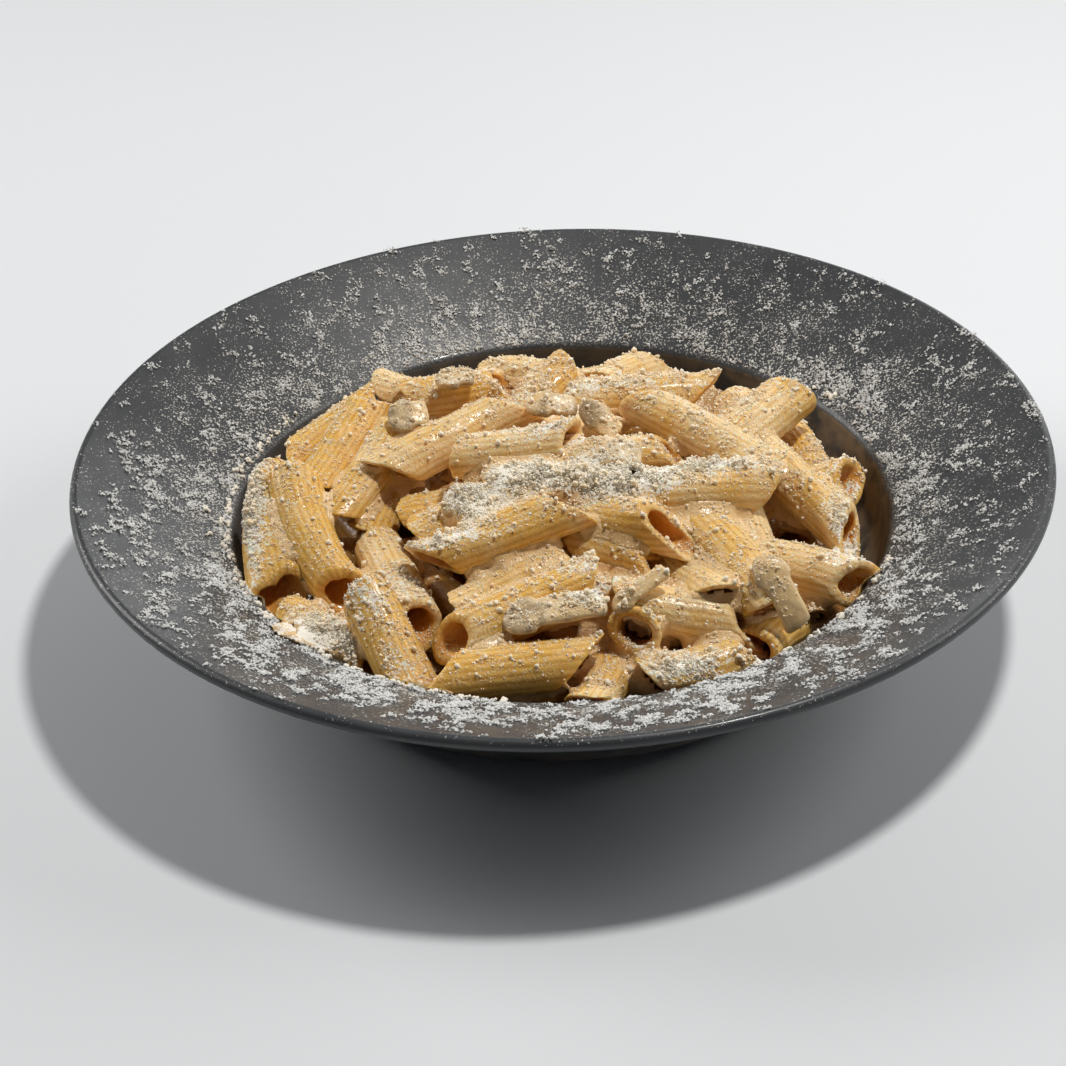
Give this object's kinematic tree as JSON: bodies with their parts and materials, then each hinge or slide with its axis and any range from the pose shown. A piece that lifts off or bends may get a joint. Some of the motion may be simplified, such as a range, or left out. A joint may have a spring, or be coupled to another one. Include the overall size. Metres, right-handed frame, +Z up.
{
  "type": "bowl of penne",
  "caption": "Wide-rimmed dark grey bowl filled with a loose heap of penne in a creamy sauce, with mushroom slices and grated cheese.",
  "frame": {"origin": "on the table under the middle of the bowl, at the centre of the foot ring's underside", "axes": "+Z up along the bowl's axis; -Y is the front that the picture shows, and +X is to the right seen from the front"},
  "size_m": [0.28, 0.28, 0.062],
  "materials": {
    "bowl_glaze": "satin dark grey glaze",
    "pasta": null,
    "mushroom": null,
    "cheese": "dry grated hard cheese on the food and the rim, only in the dressed scene"
  },
  "bodies": {
    "root": {"bowl": "bowl_glaze", "penne_heap": "pasta", "mushroom_1": "mushroom", "mushroom_2": "mushroom", "mushroom_3": "mushroom", "mushroom_4": "mushroom", "mushroom_5": "mushroom", "mushroom_6": "mushroom", "mushroom_7": "mushroom", "mushroom_8": "mushroom", "mushroom_9": "mushroom"}
  },
  "joints": []
}
